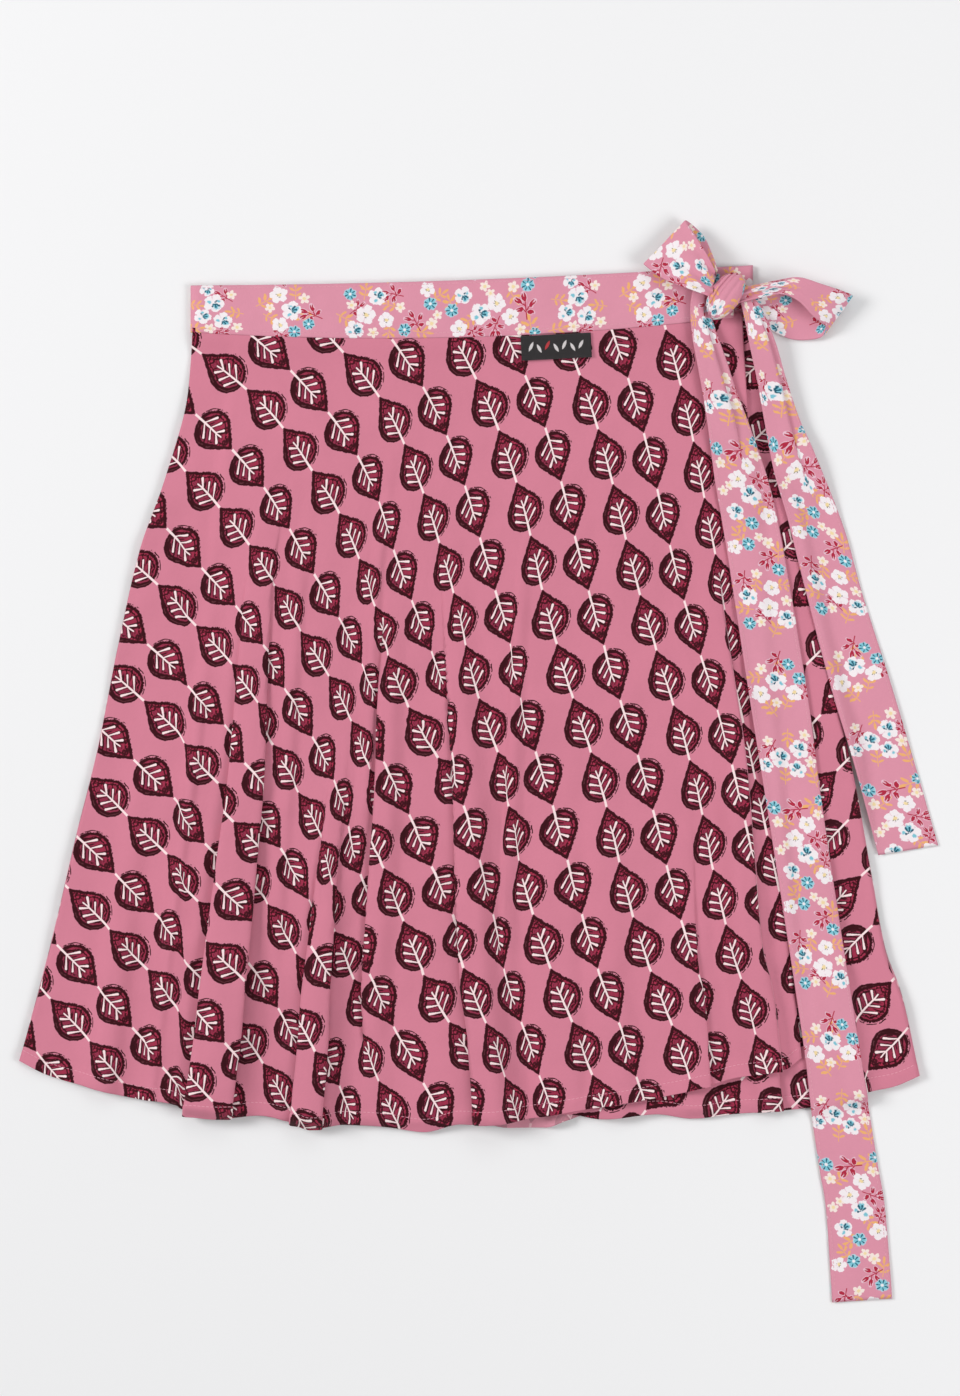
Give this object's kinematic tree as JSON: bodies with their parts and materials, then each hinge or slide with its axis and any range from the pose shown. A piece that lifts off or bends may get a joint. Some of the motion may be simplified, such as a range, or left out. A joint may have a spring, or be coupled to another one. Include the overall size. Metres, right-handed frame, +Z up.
{
  "type": "wrap skirt laid flat",
  "caption": "Flared wrap skirt laid flat, with overlapping leaf-print panels, a flower-print waistband and a tie bow at the hip.",
  "frame": {"origin": "centre of the bounding box, on the surface that the skirt lies on", "axes": "+X to the right across the front as it is looked down on, +Y from hem to waist, +Z up off the surface"},
  "size_m": [0.6426, 0.757, 0.0197],
  "materials": {
    "leaf_print_cloth": "soft plain-weave viscose, rose pink with a burgundy leaf print, matt with a slight sheen",
    "flower_print_cloth": "soft plain-weave viscose, mauve pink with a small flower print, matt with a slight sheen",
    "woven_label": "plain black damask-woven label, fine ribs"
  },
  "bodies": {
    "root": {"back_panel": "leaf_print_cloth", "under_front_panel": "leaf_print_cloth", "outer_front_panel": "leaf_print_cloth", "waistband_back": "flower_print_cloth", "waistband_under": "flower_print_cloth", "waistband_front": "flower_print_cloth", "bow_knot": "flower_print_cloth", "bow_loop_left": "flower_print_cloth", "bow_loop_right": "flower_print_cloth", "tie_tail_front": "flower_print_cloth", "tie_tail_side": "flower_print_cloth", "label": "woven_label"}
  },
  "joints": []
}
